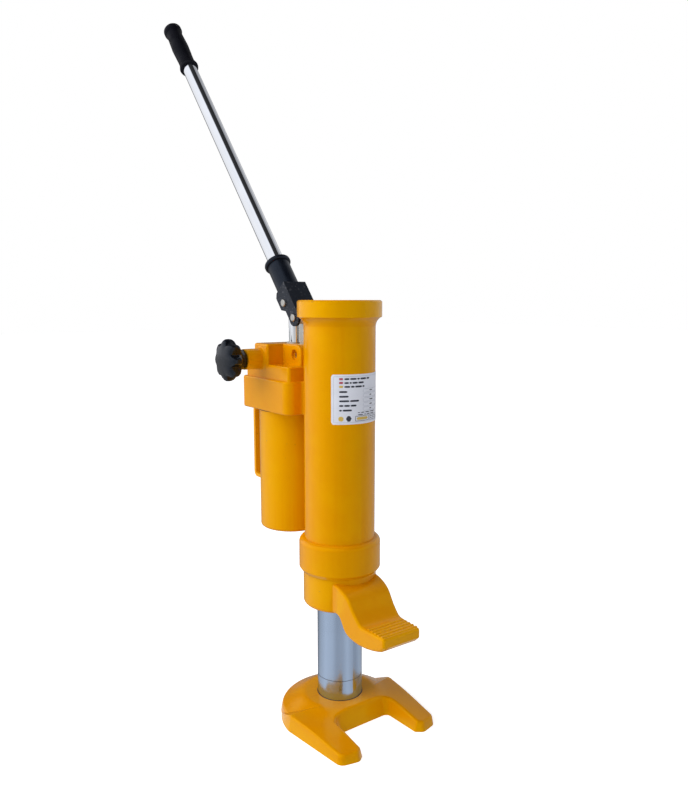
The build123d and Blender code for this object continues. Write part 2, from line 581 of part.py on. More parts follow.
def suction_ball_stop():
    """Spring clip that limits the suction ball's lift."""
    low = SUCTION_SEAT + ball_rise(SUCTION_BALL, 3.2) + SUCTION_BALL + 1.3
    clip = ring(5.5 - STATIC_GAP, 3.0, low, low + 1.2, SUCTION_X)
    return clip - Pos(SUCTION_X, 0, 0) * slab((0, 7), (-1.5, 1.5), (low - 1, low + 2))


def delivery_ball():
    """Ball that lets oil out to the cylinder."""
    z = DELIVERY_SEAT + ball_rise(DELIVERY_BALL, OIL_WAY)
    return Pos(DELIVERY_X, DELIVERY_Y, z) * Sphere(DELIVERY_BALL)


def delivery_spring():
    """Light spring on the delivery ball."""
    low = DELIVERY_SEAT + ball_rise(DELIVERY_BALL, OIL_WAY) + DELIVERY_BALL
    return coil(3.5, 0.5, low, PLINTH_TOP - 14.0, 6, DELIVERY_X, DELIVERY_Y)


def delivery_plug():
    """Screw plug over the delivery valve."""
    body = disc(VALVE_RADIUS - STATIC_GAP, PLINTH_TOP - 14.0, PLINTH_TOP - 0.5, DELIVERY_X, DELIVERY_Y)
    return body - hexagon(6.0, PLINTH_TOP - 6.0, PLINTH_TOP, DELIVERY_X, DELIVERY_Y)


def relief_frame():
    """Places a part modelled upright so that it points along +Y from the relief seat."""
    return Pos(RELIEF_X, RELIEF_SEAT, DELIVERY_SEAT + 8.0) * Rot(-90, 0, 0)


def relief_ball():
    """Ball of the overload valve."""
    return relief_frame() * Pos(0, 0, ball_rise(SMALL_BALL, OIL_WAY)) * Sphere(SMALL_BALL)


def relief_spring():
    """Stiff spring of the overload valve."""
    low = ball_rise(SMALL_BALL, OIL_WAY) + SMALL_BALL
    return relief_frame() * coil(4.0, 0.9, low, 20.0, 5, 0, 0)


def relief_screw():
    """Setting screw of the overload valve."""
    body = disc(VALVE_RADIUS - STATIC_GAP, 20.0, 31.0) - hexagon(6.0, 26.0, 32.0)
    return relief_frame() * body


# ---------------------------------------------------------------- release valve
def release_gland_nut():
    """Ring nut that holds the release spindle in its boss."""
    body = rod((RELEASE_X, RELEASE_BOSS_END + 8, RELEASE_Z), (RELEASE_X, RELEASE_BOSS_END, RELEASE_Z),
               VALVE_RADIUS - STATIC_GAP)
    return body - rod((RELEASE_X, RELEASE_BOSS_END + 9, RELEASE_Z),
                      (RELEASE_X, RELEASE_BOSS_END - 1, RELEASE_Z), 4.0 + RUNNING_GAP)


def release_ball():
    """Ball that the spindle presses on its seat."""
    y = RELEASE_SEAT - ball_rise(SMALL_BALL, OIL_WAY)
    return Pos(RELEASE_X, y, RELEASE_Z) * Sphere(SMALL_BALL)


def release_spindle():
    """Screwed spindle from the ball out to the knob."""
    tip = RELEASE_SEAT - ball_rise(SMALL_BALL, OIL_WAY) - SMALL_BALL
    nut = RELEASE_BOSS_END + 8
    thread = VALVE_RADIUS - RUNNING_GAP
    return turned_along_y([(0, tip), (2.5, tip), (3.5, tip - 1.5), (3.5, tip - 8), (thread, tip - 8),
                           (thread, nut + 0.1), (4.0, nut + 0.1), (4.0, KNOB_FACE + 9), (0, KNOB_FACE + 9)],
                          RELEASE_X, RELEASE_Z)


def knob_outline(radius, lobes=8, hollow=8.5):
    """Star outline with shallow round hollows between its lobes."""
    star = Circle(radius)
    for index in range(lobes):
        angle = radians(360 / lobes * (index + 0.5))
        reach = radius + hollow * 0.42
        star -= Pos(reach * cos(angle), reach * sin(angle)) * Circle(hollow)
    return fillet(star.vertices(), 2.5)


def release_knob():
    """Moulded star knob with a tapered hub."""
    back = RELEASE_BOSS_END - 1.0
    hub = turned_along_y([(0, back), (13.5, back), (14.2, back - 1.0), (14.5, back - 7.0), (19.0, back - 15.0),
                          (19.0, KNOB_FACE + 6), (0, KNOB_FACE + 6)], RELEASE_X, RELEASE_Z)
    plane = Plane(origin=(RELEASE_X, back - 11.0, RELEASE_Z), x_dir=(1, 0, 0), z_dir=(0, -1, 0))
    depth = back - 11.0 - KNOB_FACE
    star = extrude(plane * knob_outline(KNOB_RADIUS), depth)
    limits = turned_along_y([(0, back - 10.9), (19, back - 10.9), (26, back - 14.0), (KNOB_RADIUS + 1, back - 19.0),
                             (KNOB_RADIUS + 1, KNOB_FACE + 6), (KNOB_RADIUS - 4, KNOB_FACE + 1.0),
                             (KNOB_RADIUS - 9, KNOB_FACE), (0, KNOB_FACE)], RELEASE_X, RELEASE_Z)
    body = hub + (star & limits)
    body -= rod((RELEASE_X, back + 1, RELEASE_Z), (RELEASE_X, KNOB_FACE + 9, RELEASE_Z), 4.0 + STATIC_GAP)
    body -= rod((RELEASE_X, KNOB_FACE + 9, RELEASE_Z), (RELEASE_X, KNOB_FACE + 5, RELEASE_Z), 3.0)
    return body - rod((RELEASE_X, KNOB_FACE + 5, RELEASE_Z), (RELEASE_X, KNOB_FACE - 1, RELEASE_Z), 8.0)


def knob_screw():
    """Button-head screw that holds the knob on the spindle."""
    face = KNOB_FACE + 5
    body = turned_along_y([(0, face + 4), (2.9, face + 4), (2.9, face), (6.5, face), (6.0, face - 2.0),
                           (4.0, face - 3.2), (0, face - 3.2)], RELEASE_X, RELEASE_Z)
    socket = Plane(origin=(RELEASE_X, face - 1.2, RELEASE_Z), z_dir=(0, -1, 0))
    return body - extrude(socket * RegularPolygon(2.0, 6), 3.0)


# ---------------------------------------------------------------- plunger, link and lever
EYE_HALF_PLAY = 1.4
EYE_SLOT_RADIUS = PIN_RADIUS + 1.1


def pump_plunger():
    """Chromed plunger with a slotted eye on top for the lever's pin."""
    foot = PUMP_BOTTOM + 28.5
    x, z = PLUNGER_X, PIN_A[1]
    body = turned([(0, foot), (PLUNGER_RADIUS - 1, foot), (PLUNGER_RADIUS, foot + 1), (PLUNGER_RADIUS, z + 9),
                   (0, z + 9)], x)
    body &= cross_pin((x, z), 12, PLUNGER_RADIUS) + slab((x - 10, x + 10), (-12, 12), (foot - 1, z))
    for side in (-1, 1):
        slot = side * EYE_HALF_PLAY
        body -= cross_pin((x + slot, z), 12, EYE_SLOT_RADIUS)
    return body - slab((x - EYE_HALF_PLAY, x + EYE_HALF_PLAY), (-12, 12),
                       (z - EYE_SLOT_RADIUS, z + EYE_SLOT_RADIUS))


def link():
    """Swinging link between the block's lugs and the lever fork."""
    (top_x, top_z), (low_x, low_z) = PIN_B, PIN_C
    length = hypot(top_x - low_x, top_z - low_z)
    lean = degrees(atan2(low_x - top_x, top_z - low_z))
    bar = Pos(low_x, 0, low_z) * Rot(0, -lean, 0) * slab((-6.5, 6.5), (-LINK_HALF, LINK_HALF), (0, length))
    body = bar + cross_pin(PIN_B, FORK_INNER - 0.3, 8.5) + cross_pin(PIN_C, LINK_HALF, 9.0)
    body -= cross_pin(PIN_B, FORK_INNER, PIN_RADIUS + RUNNING_GAP)
    return body - cross_pin(PIN_C, LINK_HALF + 1, 5.0 + RUNNING_GAP)


def link_lower_pin():
    """Steel pin through the block's lugs."""
    return cross_pin(PIN_C, POST_HALF - 4.5, 5.0)


def fork_side():
    """Outline of one fork plate in the lever's own plane."""
    b_x, b_y = lever_local(PIN_B)
    upper = Polyline((b_x - 11.0, b_y), (-4.5, -11.0), (-12.5, -2.5), (-12.5, 18.0), (-7.0, 23.0), (18.0, 23.0),
                     (18.0, b_y), close=True)
    plate = make_face(upper) + Pos(b_x, b_y) * Circle(11.6)
    return plate


def lever_local(point):
    """An (x, z) place in the lever plane's own coordinates."""
    lean = radians(LEVER_LEAN)
    dx, dz = point[0] - PIN_A[0], point[1] - PIN_A[1]
    return dx * cos(lean) + dz * sin(lean), dz * cos(lean) - dx * sin(lean)


def lever_fork():
    """Folded channel that carries both lever pins."""
    thickness = FORK_OUTER - FORK_INNER
    near = extrude(lever_plane(-FORK_INNER) * fork_side(), thickness)
    far = extrude(lever_plane(FORK_OUTER) * fork_side(), thickness)
    back = Pos(16.2, 2.5) * Rectangle(3.6, 41.0)
    bridge = extrude(lever_plane(FORK_OUTER) * back, 2 * FORK_OUTER)
    body = near + far + bridge
    body -= cross_pin(PIN_A, FORK_OUTER + 1, PIN_RADIUS + STATIC_GAP)
    return body - cross_pin(PIN_B, FORK_OUTER + 1, PIN_RADIUS + STATIC_GAP)


def lever_socket():
    """Tube welded in the fork, with a rolled rim, that takes the handle."""
    foot = 15.0
    body = lever_rod(foot, SOCKET_END, SOCKET_RADIUS)
    rim = lever_rod(SOCKET_END - 6.5, SOCKET_END, SOCKET_RADIUS + 3.0)
    body += fillet(rim.edges(), 2.5)
    body -= lever_rod(HANDLE_START, SOCKET_END + 1, HANDLE_RADIUS + RUNNING_GAP)
    body -= lever_rod(foot - 1, HANDLE_START + 1, HANDLE_RADIUS - 3.0)
    trim = Pos(0, foot + 3.5) * Rectangle(60, 9.1)
    inside = Pos(-6.0, foot + 3.5) * Rectangle(40.8, 9.2)
    cutter = extrude(lever_plane(30) * trim, 60)
    cutter -= extrude(lever_plane(FORK_INNER - STATIC_GAP) * inside, 2 * (FORK_INNER - STATIC_GAP))
    return body - cutter


def headed_pin(pivot):
    """Pin with a round head on the -Y side and a circlip groove on the other."""
    x, z = pivot
    shank = rod((x, -FORK_OUTER, z), (x, FORK_OUTER + 4.0, z), PIN_RADIUS)
    head = rod((x, -FORK_OUTER - 3.0, z), (x, -FORK_OUTER, z), PIN_RADIUS + 1.2)
    head = fillet(head.edges().group_by(Axis.Y)[0], 1.5)
    groove_low, groove_high = FORK_OUTER + 0.4, FORK_OUTER + 1.6
    groove = rod((x, groove_low, z), (x, groove_high, z), PIN_RADIUS + 1)
    groove -= rod((x, groove_low, z), (x, groove_high, z), PIN_RADIUS - 0.6)
    return head + shank - groove


def pin_circlips():
    """Circlips in the grooves of the two lever pins."""
    clips = []
    low, high = FORK_OUTER + 0.45, FORK_OUTER + 1.55
    for x, z in (PIN_A, PIN_B):
        clip = rod((x, low, z), (x, high, z), PIN_RADIUS + 2.0)
        clip -= rod((x, low - 1, z), (x, high + 1, z), PIN_RADIUS - 0.55)
        clip -= slab((x - 1.6, x + 1.6), (low - 1, high + 1), (z - 8.0, z))
        clips.append(clip)
    return Compound(children=clips)


def handle_tube():
    """Chromed pump handle."""
    body = lever_rod(HANDLE_START, HANDLE_END, HANDLE_RADIUS)
    return body - lever_rod(HANDLE_START - 1, HANDLE_END + 1, HANDLE_RADIUS - HANDLE_WALL)


def handle_grip():
    """Moulded rubber grip: flange, swelling body, round flanged cap."""
    low, high = HANDLE_END - GRIP_LENGTH + 7.0, HANDLE_END + 7.0
    inner = HANDLE_RADIUS + STATIC_GAP
    profile = [(inner, low), (15.0, low), (15.6, low + 2.5), (15.0, low + 5.0), (GRIP_RADIUS, low + 9.0),
               (GRIP_RADIUS, low + 22.0), (GRIP_RADIUS + 1.2, (low + high) / 2), (GRIP_RADIUS, high - 24.0),
               (GRIP_RADIUS + 0.2, high - 16.0), (15.2, high - 10.0), (15.2, high - 5.0), (12.5, high - 1.0),
               (8.0, high), (0, high), (0, HANDLE_END), (inner, HANDLE_END)]
    face = make_face(Polyline(*profile, close=True))
    plane = lever_plane()
    return revolve(plane * face, Axis(plane.origin, plane.y_dir))


# ---------------------------------------------------------------- plate and carrying handle
PLATE_ARC = (-48.0, 62.0)
RATING_LOW, RATING_HIGH = HEAD_TOP - 152.0, HEAD_TOP - 90.0


def rating_plate():
    """Thin blank data plate wrapped round the tube."""
    start, stop = PLATE_ARC
    band = ring(TUBE_RADIUS + 0.35, TUBE_RADIUS + 0.05, RATING_LOW, RATING_HIGH)
    wedge = make_face(Polyline((0, 0), (90 * cos(radians(start)), 90 * sin(radians(start))), (120, 0),
                               (90 * cos(radians(stop)), 90 * sin(radians(stop))), close=True))
    return band & extrude(Pos(0, 0, RATING_LOW) * wedge, RATING_HIGH - RATING_LOW)


CARRY_HALF, CARRY_THICK = 16.0, 5.0
CARRY_OUT = -203.0
CARRY_LOW = HEAD_TOP - 264.0


def carry_handle():
    """Bent strap behind the tank, screwed to the block and resting on the tank wall."""
    middle = CARRY_THICK / 2
    foot_x = PLATE_REAR - middle
    arm = PLATE_BOTTOM + 6.0
    path = FilletPolyline((foot_x, PLATE_TOP - 6.0), (foot_x, arm), (CARRY_OUT + middle, arm),
                          (CARRY_OUT + middle, CARRY_LOW + middle), (TANK_X, CARRY_LOW + middle), radius=5.5)
    strap = offset(path, middle, side=Side.BOTH)
    body = extrude(Plane((0, CARRY_HALF, 0), x_dir=(1, 0, 0), z_dir=(0, -1, 0)) * make_face(strap), 2 * CARRY_HALF)
    body -= disc(TANK_RADIUS + STATIC_GAP, CARRY_LOW - 5, CARRY_LOW + 20, TANK_X)
    for drop in HANDLE_SCREW_DROPS:
        z = PLATE_TOP - drop
        body -= rod((PLATE_REAR - 10, 0, z), (PLATE_REAR, 0, z), 3.2)
    return body


def carry_handle_screws():
    """Two screws through the strap's foot."""
    screws = []
    for drop in HANDLE_SCREW_DROPS:
        z = PLATE_TOP - drop
        seat = PLATE_REAR - CARRY_THICK
        head = rod((seat - 4.0, 0, z), (seat, 0, z), 5.0)
        head = fillet(head.edges().group_by(Axis.X)[0], 1.5)
        screws.append(head + rod((seat, 0, z), (PLATE_REAR + 12.0, 0, z), 3.0))
    return Compound(children=screws)


# ---------------------------------------------------------------- write one file per part
PARTS = {
    "base_casting": base_casting,
    "ram": ram,
    "foot_washer": foot_washer,
    "foot_screw": foot_screw,
    "ram_stop_ring": ram_stop_ring,
    "ram_guide_band": ram_guide_band,
    "ram_ring_nut": ram_ring_nut,
    "cylinder_housing": cylinder_housing,
    "gland_bush": gland_bush,
    "gland_o_ring": gland_o_ring,
    "rod_seal": rod_seal,
    "rod_wiper": rod_wiper,
    "lock_collar": lock_collar,
    "toe_casting": toe_casting,
    "oil_tank": oil_tank,
    "tank_gasket": tank_gasket,
    "suction_pipe": suction_pipe,
    "suction_strainer": suction_strainer,
    "filler_plug": filler_plug,
    "filler_seal": filler_seal,
    "pump_gland_nut": pump_gland_nut,
    "pump_seal": pump_seal,
    "suction_ball": suction_ball,
    "suction_ball_stop": suction_ball_stop,
    "delivery_ball": delivery_ball,
    "delivery_spring": delivery_spring,
    "delivery_plug": delivery_plug,
    "relief_ball": relief_ball,
    "relief_spring": relief_spring,
    "relief_screw": relief_screw,
    "release_gland_nut": release_gland_nut,
    "release_ball": release_ball,
    "release_spindle": release_spindle,
    "release_knob": release_knob,
    "knob_screw": knob_screw,
    "pump_plunger": pump_plunger,
    "link": link,
    "link_lower_pin": link_lower_pin,
    "lever_fork": lever_fork,
    "lever_socket": lever_socket,
    "plunger_pin": lambda: headed_pin(PIN_A),
    "link_top_pin": lambda: headed_pin(PIN_B),
    "pin_circlips": pin_circlips,
    "handle_tube": handle_tube,
    "handle_grip": handle_grip,
    "rating_plate": rating_plate,
    "carry_handle": carry_handle,
    "carry_handle_screws": carry_handle_screws,
}

os.makedirs("parts", exist_ok=True)
for name, build in PARTS.items():
    export_step(build(), os.path.join("parts", name + ".step"))
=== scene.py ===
import json
import math

import bpy
from mathutils import Matrix, Vector


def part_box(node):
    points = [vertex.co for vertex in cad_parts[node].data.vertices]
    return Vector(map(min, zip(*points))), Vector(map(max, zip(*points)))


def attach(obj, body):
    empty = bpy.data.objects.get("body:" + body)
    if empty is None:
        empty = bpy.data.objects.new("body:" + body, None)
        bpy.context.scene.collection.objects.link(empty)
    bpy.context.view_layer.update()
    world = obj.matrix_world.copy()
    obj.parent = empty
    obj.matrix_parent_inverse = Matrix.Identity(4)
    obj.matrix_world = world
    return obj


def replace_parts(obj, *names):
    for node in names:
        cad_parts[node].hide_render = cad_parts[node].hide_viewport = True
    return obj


# Looks of the toe jack: a finish for every CAD node, the data plate, two fine lines round the ram, the
# star knob and a pale studio. Everything is in metres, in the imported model's frame: the ram's axis is the
# Z axis, the floor is at Z = 0 and the lifting toe points along +X. The data plate is drawn in millimetres.
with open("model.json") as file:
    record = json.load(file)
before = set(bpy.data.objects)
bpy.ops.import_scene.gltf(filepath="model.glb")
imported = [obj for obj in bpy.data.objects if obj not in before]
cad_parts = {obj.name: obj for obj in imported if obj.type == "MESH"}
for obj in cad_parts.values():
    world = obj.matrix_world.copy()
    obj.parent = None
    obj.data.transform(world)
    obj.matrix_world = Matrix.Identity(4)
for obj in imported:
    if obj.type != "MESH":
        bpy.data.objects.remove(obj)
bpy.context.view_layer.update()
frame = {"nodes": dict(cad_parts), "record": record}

MM = 0.001
UP = Vector((0, 0, 1))


# ---------------------------------------------------------------- node helpers
class Nodes:
    """Short forms for adding and linking the nodes of one tree."""

    def __init__(self, tree):
        self.tree = tree

    def node(self, kind, **settings):
        made = self.tree.nodes.new(kind)
        for key, setting in settings.items():
            setattr(made, key, setting)
        return made

    def link(self, source, target):
        self.tree.links.new(source, target)

    def ramp(self, source, start, full, low=0.0, high=1.0):
        """Goes from low to high as the source goes from start to full, and stays level beyond them."""
        made = self.node("ShaderNodeMapRange")
        made.inputs["From Min"].default_value = start
        made.inputs["From Max"].default_value = full
        made.inputs["To Min"].default_value = low
        made.inputs["To Max"].default_value = high
        self.link(source, made.inputs["Value"])
        return made.outputs["Result"]

    def blend(self, mask, first, second):
        """The first colour where the mask is 0, the second where it is 1."""
        made = self.node("ShaderNodeMix", data_type="RGBA")
        self.link(mask, made.inputs["Factor"])
        self.link(first, made.inputs["A"])
        self.link(second, made.inputs["B"])
        return made.outputs["Result"]


class Finish(Nodes):
    """One procedural material, built up layer by layer around a Principled shader."""

    def __init__(self, name, colour, roughness, metallic=0.0):
        self.material = bpy.data.materials.new(name)
        self.material.use_nodes = True
        super().__init__(self.material.node_tree)
        self.shader = self.tree.nodes["Principled BSDF"]
        self.place = self.node("ShaderNodeTexCoord").outputs["Object"]
        self.colour = self.flat(colour)
        self.roughness = self.node("ShaderNodeValue").outputs[0]
        self.roughness.default_value = roughness
        self.bump = None
        self.set("Metallic", metallic)

    def set(self, name, setting):
        self.shader.inputs[name].default_value = setting

    def flat(self, colour):
        made = self.node("ShaderNodeRGB")
        made.outputs[0].default_value = (*colour, 1.0)
        return made.outputs[0]

    def noise(self, scale, detail, place=None):
        made = self.node("ShaderNodeTexNoise")
        made.inputs["Scale"].default_value = scale
        made.inputs["Detail"].default_value = detail
        self.link(place or self.place, made.inputs["Vector"])
        return made.outputs["Fac"]

    def marks(self, scales, detail):
        """Noise with its own scale along each axis, for grinding and turning marks."""
        stretched = self.node("ShaderNodeMapping")
        stretched.inputs["Scale"].default_value = scales
        self.link(self.place, stretched.inputs["Vector"])
        return self.noise(1.0, detail, stretched.outputs["Vector"])

    def cells(self, scale):
        made = self.node("ShaderNodeTexVoronoi")
        made.inputs["Scale"].default_value = scale
        self.link(self.place, made.inputs["Vector"])
        return made.outputs["Distance"]

    def edges(self, start, full, amount=1.0):
        """High on outer edges, or in hollows where start is above full."""
        pointiness = self.node("ShaderNodeNewGeometry").outputs["Pointiness"]
        return self.ramp(pointiness, start, full, 0.0, amount)

    def math(self, operation, first, second):
        made = self.node("ShaderNodeMath", operation=operation)
        self.link(first, made.inputs[0])
        self.link(second, made.inputs[1])
        return made.outputs[0]

    def lay(self, colour, mask):
        """Lays a colour over what is there, where the mask is high."""
        self.colour = self.blend(mask, self.colour, self.flat(colour))

    def patches(self, colour, scale, detail, start, full, amount):
        """Lays a colour on the spots where noise rises from start to full."""
        self.lay(colour, self.ramp(self.noise(scale, detail), start, full, 0.0, amount))

    def chips(self, colour, edge, scale, detail, start, full):
        """Lays a colour on spots of noise along outer edges, and returns the mask of these spots."""
        spots = self.ramp(self.noise(scale, detail), start, full)
        mask = self.math("MULTIPLY", self.edges(*edge), spots)
        self.lay(colour, mask)
        return mask

    def add_roughness(self, amount):
        self.roughness = self.math("ADD", self.roughness, amount)

    def uneven(self, scale, detail, start, full, low, high):
        """Changes the roughness by low to high as noise goes from start to full."""
        self.add_roughness(self.ramp(self.noise(scale, detail), start, full, low, high))

    def add_bump(self, height, depth, strength):
        made = self.node("ShaderNodeBump")
        made.inputs["Strength"].default_value = strength
        made.inputs["Distance"].default_value = depth
        self.link(height, made.inputs["Height"])
        if self.bump:
            self.link(self.bump, made.inputs["Normal"])
        self.bump = made.outputs["Normal"]

    def grain(self, scale, detail, depth, strength):
        self.add_bump(self.noise(scale, detail), depth, strength)

    def coat(self, weight, roughness):
        self.set("Coat Weight", weight)
        self.set("Coat Roughness", roughness)

    def gleam(self, level, tint):
        """Strength and tint of the reflections of paint, plastic or rubber."""
        self.set("Specular IOR Level", level)
        self.set("Specular Tint", (*tint, 1.0))

    def done(self):
        self.link(self.colour, self.shader.inputs["Base Color"])
        self.link(self.roughness, self.shader.inputs["Roughness"])
        if self.bump:
            self.link(self.bump, self.shader.inputs["Normal"])
        return self.material


# ---------------------------------------------------------------- finishes
# linear red, green and blue
YELLOW = (0.80, 0.305, 0.0)
YELLOW_DEEP = (0.76, 0.27, 0.0)
# paler yellow: a random tone in patches, and also the painted highlight along outer edges
YELLOW_PALE_AND_HIGHLIGHT = (0.86, 0.42, 0.0)
# darker yellow: painted shade in the hollows
YELLOW_HOLLOW_SHADE = (0.52, 0.14, 0.0)
DUST_SPECK = (0.45, 0.18, 0.01)
CHIP_BROWN = (0.16, 0.10, 0.06)
CHIP_GREY = (0.10, 0.10, 0.11)
CHROME_PIT = (0.30, 0.29, 0.28)
BLUE_BLACK, BLUE_BLACK_PALE = (0.004, 0.005, 0.009), (0.010, 0.013, 0.021)
PLASTIC_BLACK, PLASTIC_BLOOM = (0.004, 0.005, 0.008), (0.016, 0.018, 0.024)
PLASTIC_RUBBED = (0.045, 0.048, 0.055)
RUBBER_BLACK, RUBBER_DUST, RUBBER_RUBBED = (0.004, 0.004, 0.006), (0.009, 0.009, 0.012), (0.020, 0.020, 0.024)
ZINC, ZINC_DULL, ZINC_SPOT = (0.66, 0.65, 0.61), (0.50, 0.49, 0.44), (0.24, 0.20, 0.16)
STEEL, STEEL_DULL = (0.54, 0.55, 0.57), (0.36, 0.36, 0.38)
BRONZE, BRONZE_DULL = (0.60, 0.36, 0.14), (0.34, 0.19, 0.08)
SEAL_BLACK, SEAL_DUST = (0.020, 0.020, 0.020), (0.045, 0.042, 0.040)


def shade(colour, factor):
    return tuple(channel * factor for channel in colour)


def enamel(name, cast):
    """Thick glossy yellow enamel; cast is 1 over a rough casting and 0 over smooth metal. Its outer edges
    carry a painted highlight and its hollows painted shade.
    """
    paint = Finish(name, YELLOW, roughness=0.15)
    paint.patches(YELLOW_DEEP, scale=9.0, detail=2.0, start=0.35, full=0.75, amount=0.45)
    paint.patches(YELLOW_PALE_AND_HIGHLIGHT, scale=38.0, detail=4.0, start=0.45, full=0.8, amount=0.30)
    # painted highlight: paler yellow along the outer edges
    paint.lay(YELLOW_PALE_AND_HIGHLIGHT, paint.edges(start=0.515, full=0.56, amount=0.45))
    # painted shade: darker yellow in the hollows
    paint.lay(YELLOW_HOLLOW_SHADE, paint.edges(start=0.47, full=0.40, amount=0.6))
    chips = paint.chips(CHIP_BROWN, edge=(0.55, 0.60), scale=260.0, detail=5.0, start=0.70, full=0.73)
    paint.patches(DUST_SPECK, scale=700.0, detail=2.0, start=0.75, full=0.79, amount=0.18)
    paint.uneven(scale=24.0, detail=3.0, start=0.3, full=0.7, low=-0.05, high=0.07)
    paint.add_roughness(paint.ramp(chips, start=0.0, full=1.0, high=0.35))
    paint.grain(scale=420.0, detail=2.0, depth=0.12 * MM, strength=0.10 + 0.12 * cast)
    if cast:
        paint.grain(scale=95.0, detail=3.0, depth=1.2 * MM, strength=0.20 * cast)
        paint.grain(scale=30.0, detail=2.0, depth=2.6 * MM, strength=0.14 * cast)
    paint.coat(weight=0.02, roughness=0.05)
    paint.gleam(level=0.85, tint=(1.0, 0.92, 0.0))
    return paint.done()


def chrome(name, tint, roughness, scales):
    """Hard chrome with faint grinding marks; scales are those of the marks along each axis."""
    metal = Finish(name, tint, roughness, metallic=1.0)
    metal.patches(shade(tint, 0.80), scale=14.0, detail=3.0, start=0.4, full=0.75, amount=0.35)
    metal.patches(CHROME_PIT, scale=520.0, detail=3.0, start=0.70, full=0.74, amount=0.35)
    marks = metal.marks(scales, detail=3.0)
    metal.add_roughness(metal.ramp(marks, start=0.35, full=0.7, low=-0.03, high=0.06))
    metal.add_bump(marks, depth=0.06 * MM, strength=0.20)
    return metal.done()


def black_enamel():
    """Satin blue-black enamel, chipped to grey along its edges."""
    paint = Finish("black_enamel", BLUE_BLACK, roughness=0.33)
    paint.patches(BLUE_BLACK_PALE, scale=60.0, detail=3.0, start=0.4, full=0.8, amount=0.6)
    paint.chips(CHIP_GREY, edge=(0.56, 0.62), scale=300.0, detail=4.0, start=0.60, full=0.68)
    paint.uneven(scale=110.0, detail=3.0, start=0.3, full=0.7, low=-0.06, high=0.10)
    paint.grain(scale=520.0, detail=2.0, depth=0.12 * MM, strength=0.25)
    paint.coat(weight=0.06, roughness=0.15)
    paint.gleam(level=0.34, tint=(0.55, 0.72, 1.0))
    return paint.done()


def moulded_black():
    """Glossy black plastic with a paler bloom and rubbed edges."""
    plastic = Finish("moulded_black", PLASTIC_BLACK, roughness=0.16)
    plastic.patches(PLASTIC_BLOOM, scale=45.0, detail=3.0, start=0.4, full=0.8, amount=0.5)
    plastic.lay(PLASTIC_RUBBED, plastic.edges(start=0.53, full=0.58, amount=0.5))
    plastic.uneven(scale=85.0, detail=4.0, start=0.3, full=0.75, low=-0.05, high=0.14)
    plastic.grain(scale=240.0, detail=2.0, depth=0.3 * MM, strength=0.12)
    plastic.gleam(level=0.42, tint=(0.7, 0.82, 1.0))
    return plastic.done()


def grip_rubber():
    """Dull black rubber with a fine cell pattern."""
    rubber = Finish("grip_rubber", RUBBER_BLACK, roughness=0.45)
    rubber.patches(RUBBER_DUST, scale=70.0, detail=4.0, start=0.45, full=0.8, amount=0.6)
    rubber.lay(RUBBER_RUBBED, rubber.edges(start=0.52, full=0.58, amount=0.6))
    rubber.uneven(scale=130.0, detail=3.0, start=0.3, full=0.75, low=-0.08, high=0.12)
    rubber.add_bump(rubber.cells(900.0), depth=0.25 * MM, strength=0.25)
    rubber.gleam(level=0.07, tint=(0.6, 0.7, 1.0))
    return rubber.done()


def plated_steel():
    """Zinc plating with dull patches and a few brown spots."""
    steel = Finish("plated_steel", ZINC, roughness=0.26, metallic=1.0)
    steel.patches(ZINC_DULL, scale=120.0, detail=3.0, start=0.4, full=0.75, amount=0.5)
    steel.patches(ZINC_SPOT, scale=420.0, detail=4.0, start=0.66, full=0.72, amount=0.6)
    steel.uneven(scale=200.0, detail=4.0, start=0.3, full=0.75, low=-0.05, high=0.16)
    steel.grain(scale=600.0, detail=2.0, depth=0.1 * MM, strength=0.25)
    return steel.done()


def turned_steel():
    """Bare machined steel with turning marks across the Z axis."""
    steel = Finish("turned_steel", STEEL, roughness=0.24, metallic=1.0)
    steel.patches(STEEL_DULL, scale=55.0, detail=3.0, start=0.4, full=0.75, amount=0.5)
    rings = steel.marks((40.0, 40.0, 2600.0), detail=2.0)
    steel.add_roughness(steel.ramp(rings, start=0.35, full=0.7, low=-0.04, high=0.12))
    steel.add_bump(rings, depth=0.1 * MM, strength=0.4)
    return steel.done()


def turned_bronze():
    """Bearing bronze with turning marks across the Z axis."""
    metal = Finish("turned_bronze", BRONZE, roughness=0.26, metallic=1.0)
    metal.patches(BRONZE_DULL, scale=50.0, detail=4.0, start=0.4, full=0.8, amount=0.7)
    metal.uneven(scale=180.0, detail=3.0, start=0.3, full=0.7, low=-0.04, high=0.14)
    metal.add_bump(metal.marks((40.0, 40.0, 2400.0), detail=2.0), depth=0.1 * MM, strength=0.4)
    return metal.done()


def seal_rubber():
    """Matt dark rubber of the seals; the two lines round the ram wear it too."""
    rubber = Finish("seal_rubber", SEAL_BLACK, roughness=0.62)
    rubber.patches(SEAL_DUST, scale=120.0, detail=3.0, start=0.4, full=0.8, amount=0.6)
    rubber.uneven(scale=260.0, detail=3.0, start=0.3, full=0.7, low=-0.1, high=0.12)
    rubber.grain(scale=900.0, detail=2.0, depth=0.1 * MM, strength=0.3)
    return rubber.done()


def printed(name, colour):
    """Matt print or film with a faint dirt cast."""
    ink = Finish(name, colour, roughness=0.38)
    ink.patches(shade(colour, 0.78), scale=60.0, detail=4.0, start=0.45, full=0.8, amount=0.28)
    ink.patches(shade(colour, 0.5), scale=420.0, detail=3.0, start=0.70, full=0.75, amount=0.25)
    ink.uneven(scale=90.0, detail=3.0, start=0.3, full=0.7, low=-0.05, high=0.10)
    ink.grain(scale=260.0, detail=2.0, depth=0.1 * MM, strength=0.12)
    return ink.done()


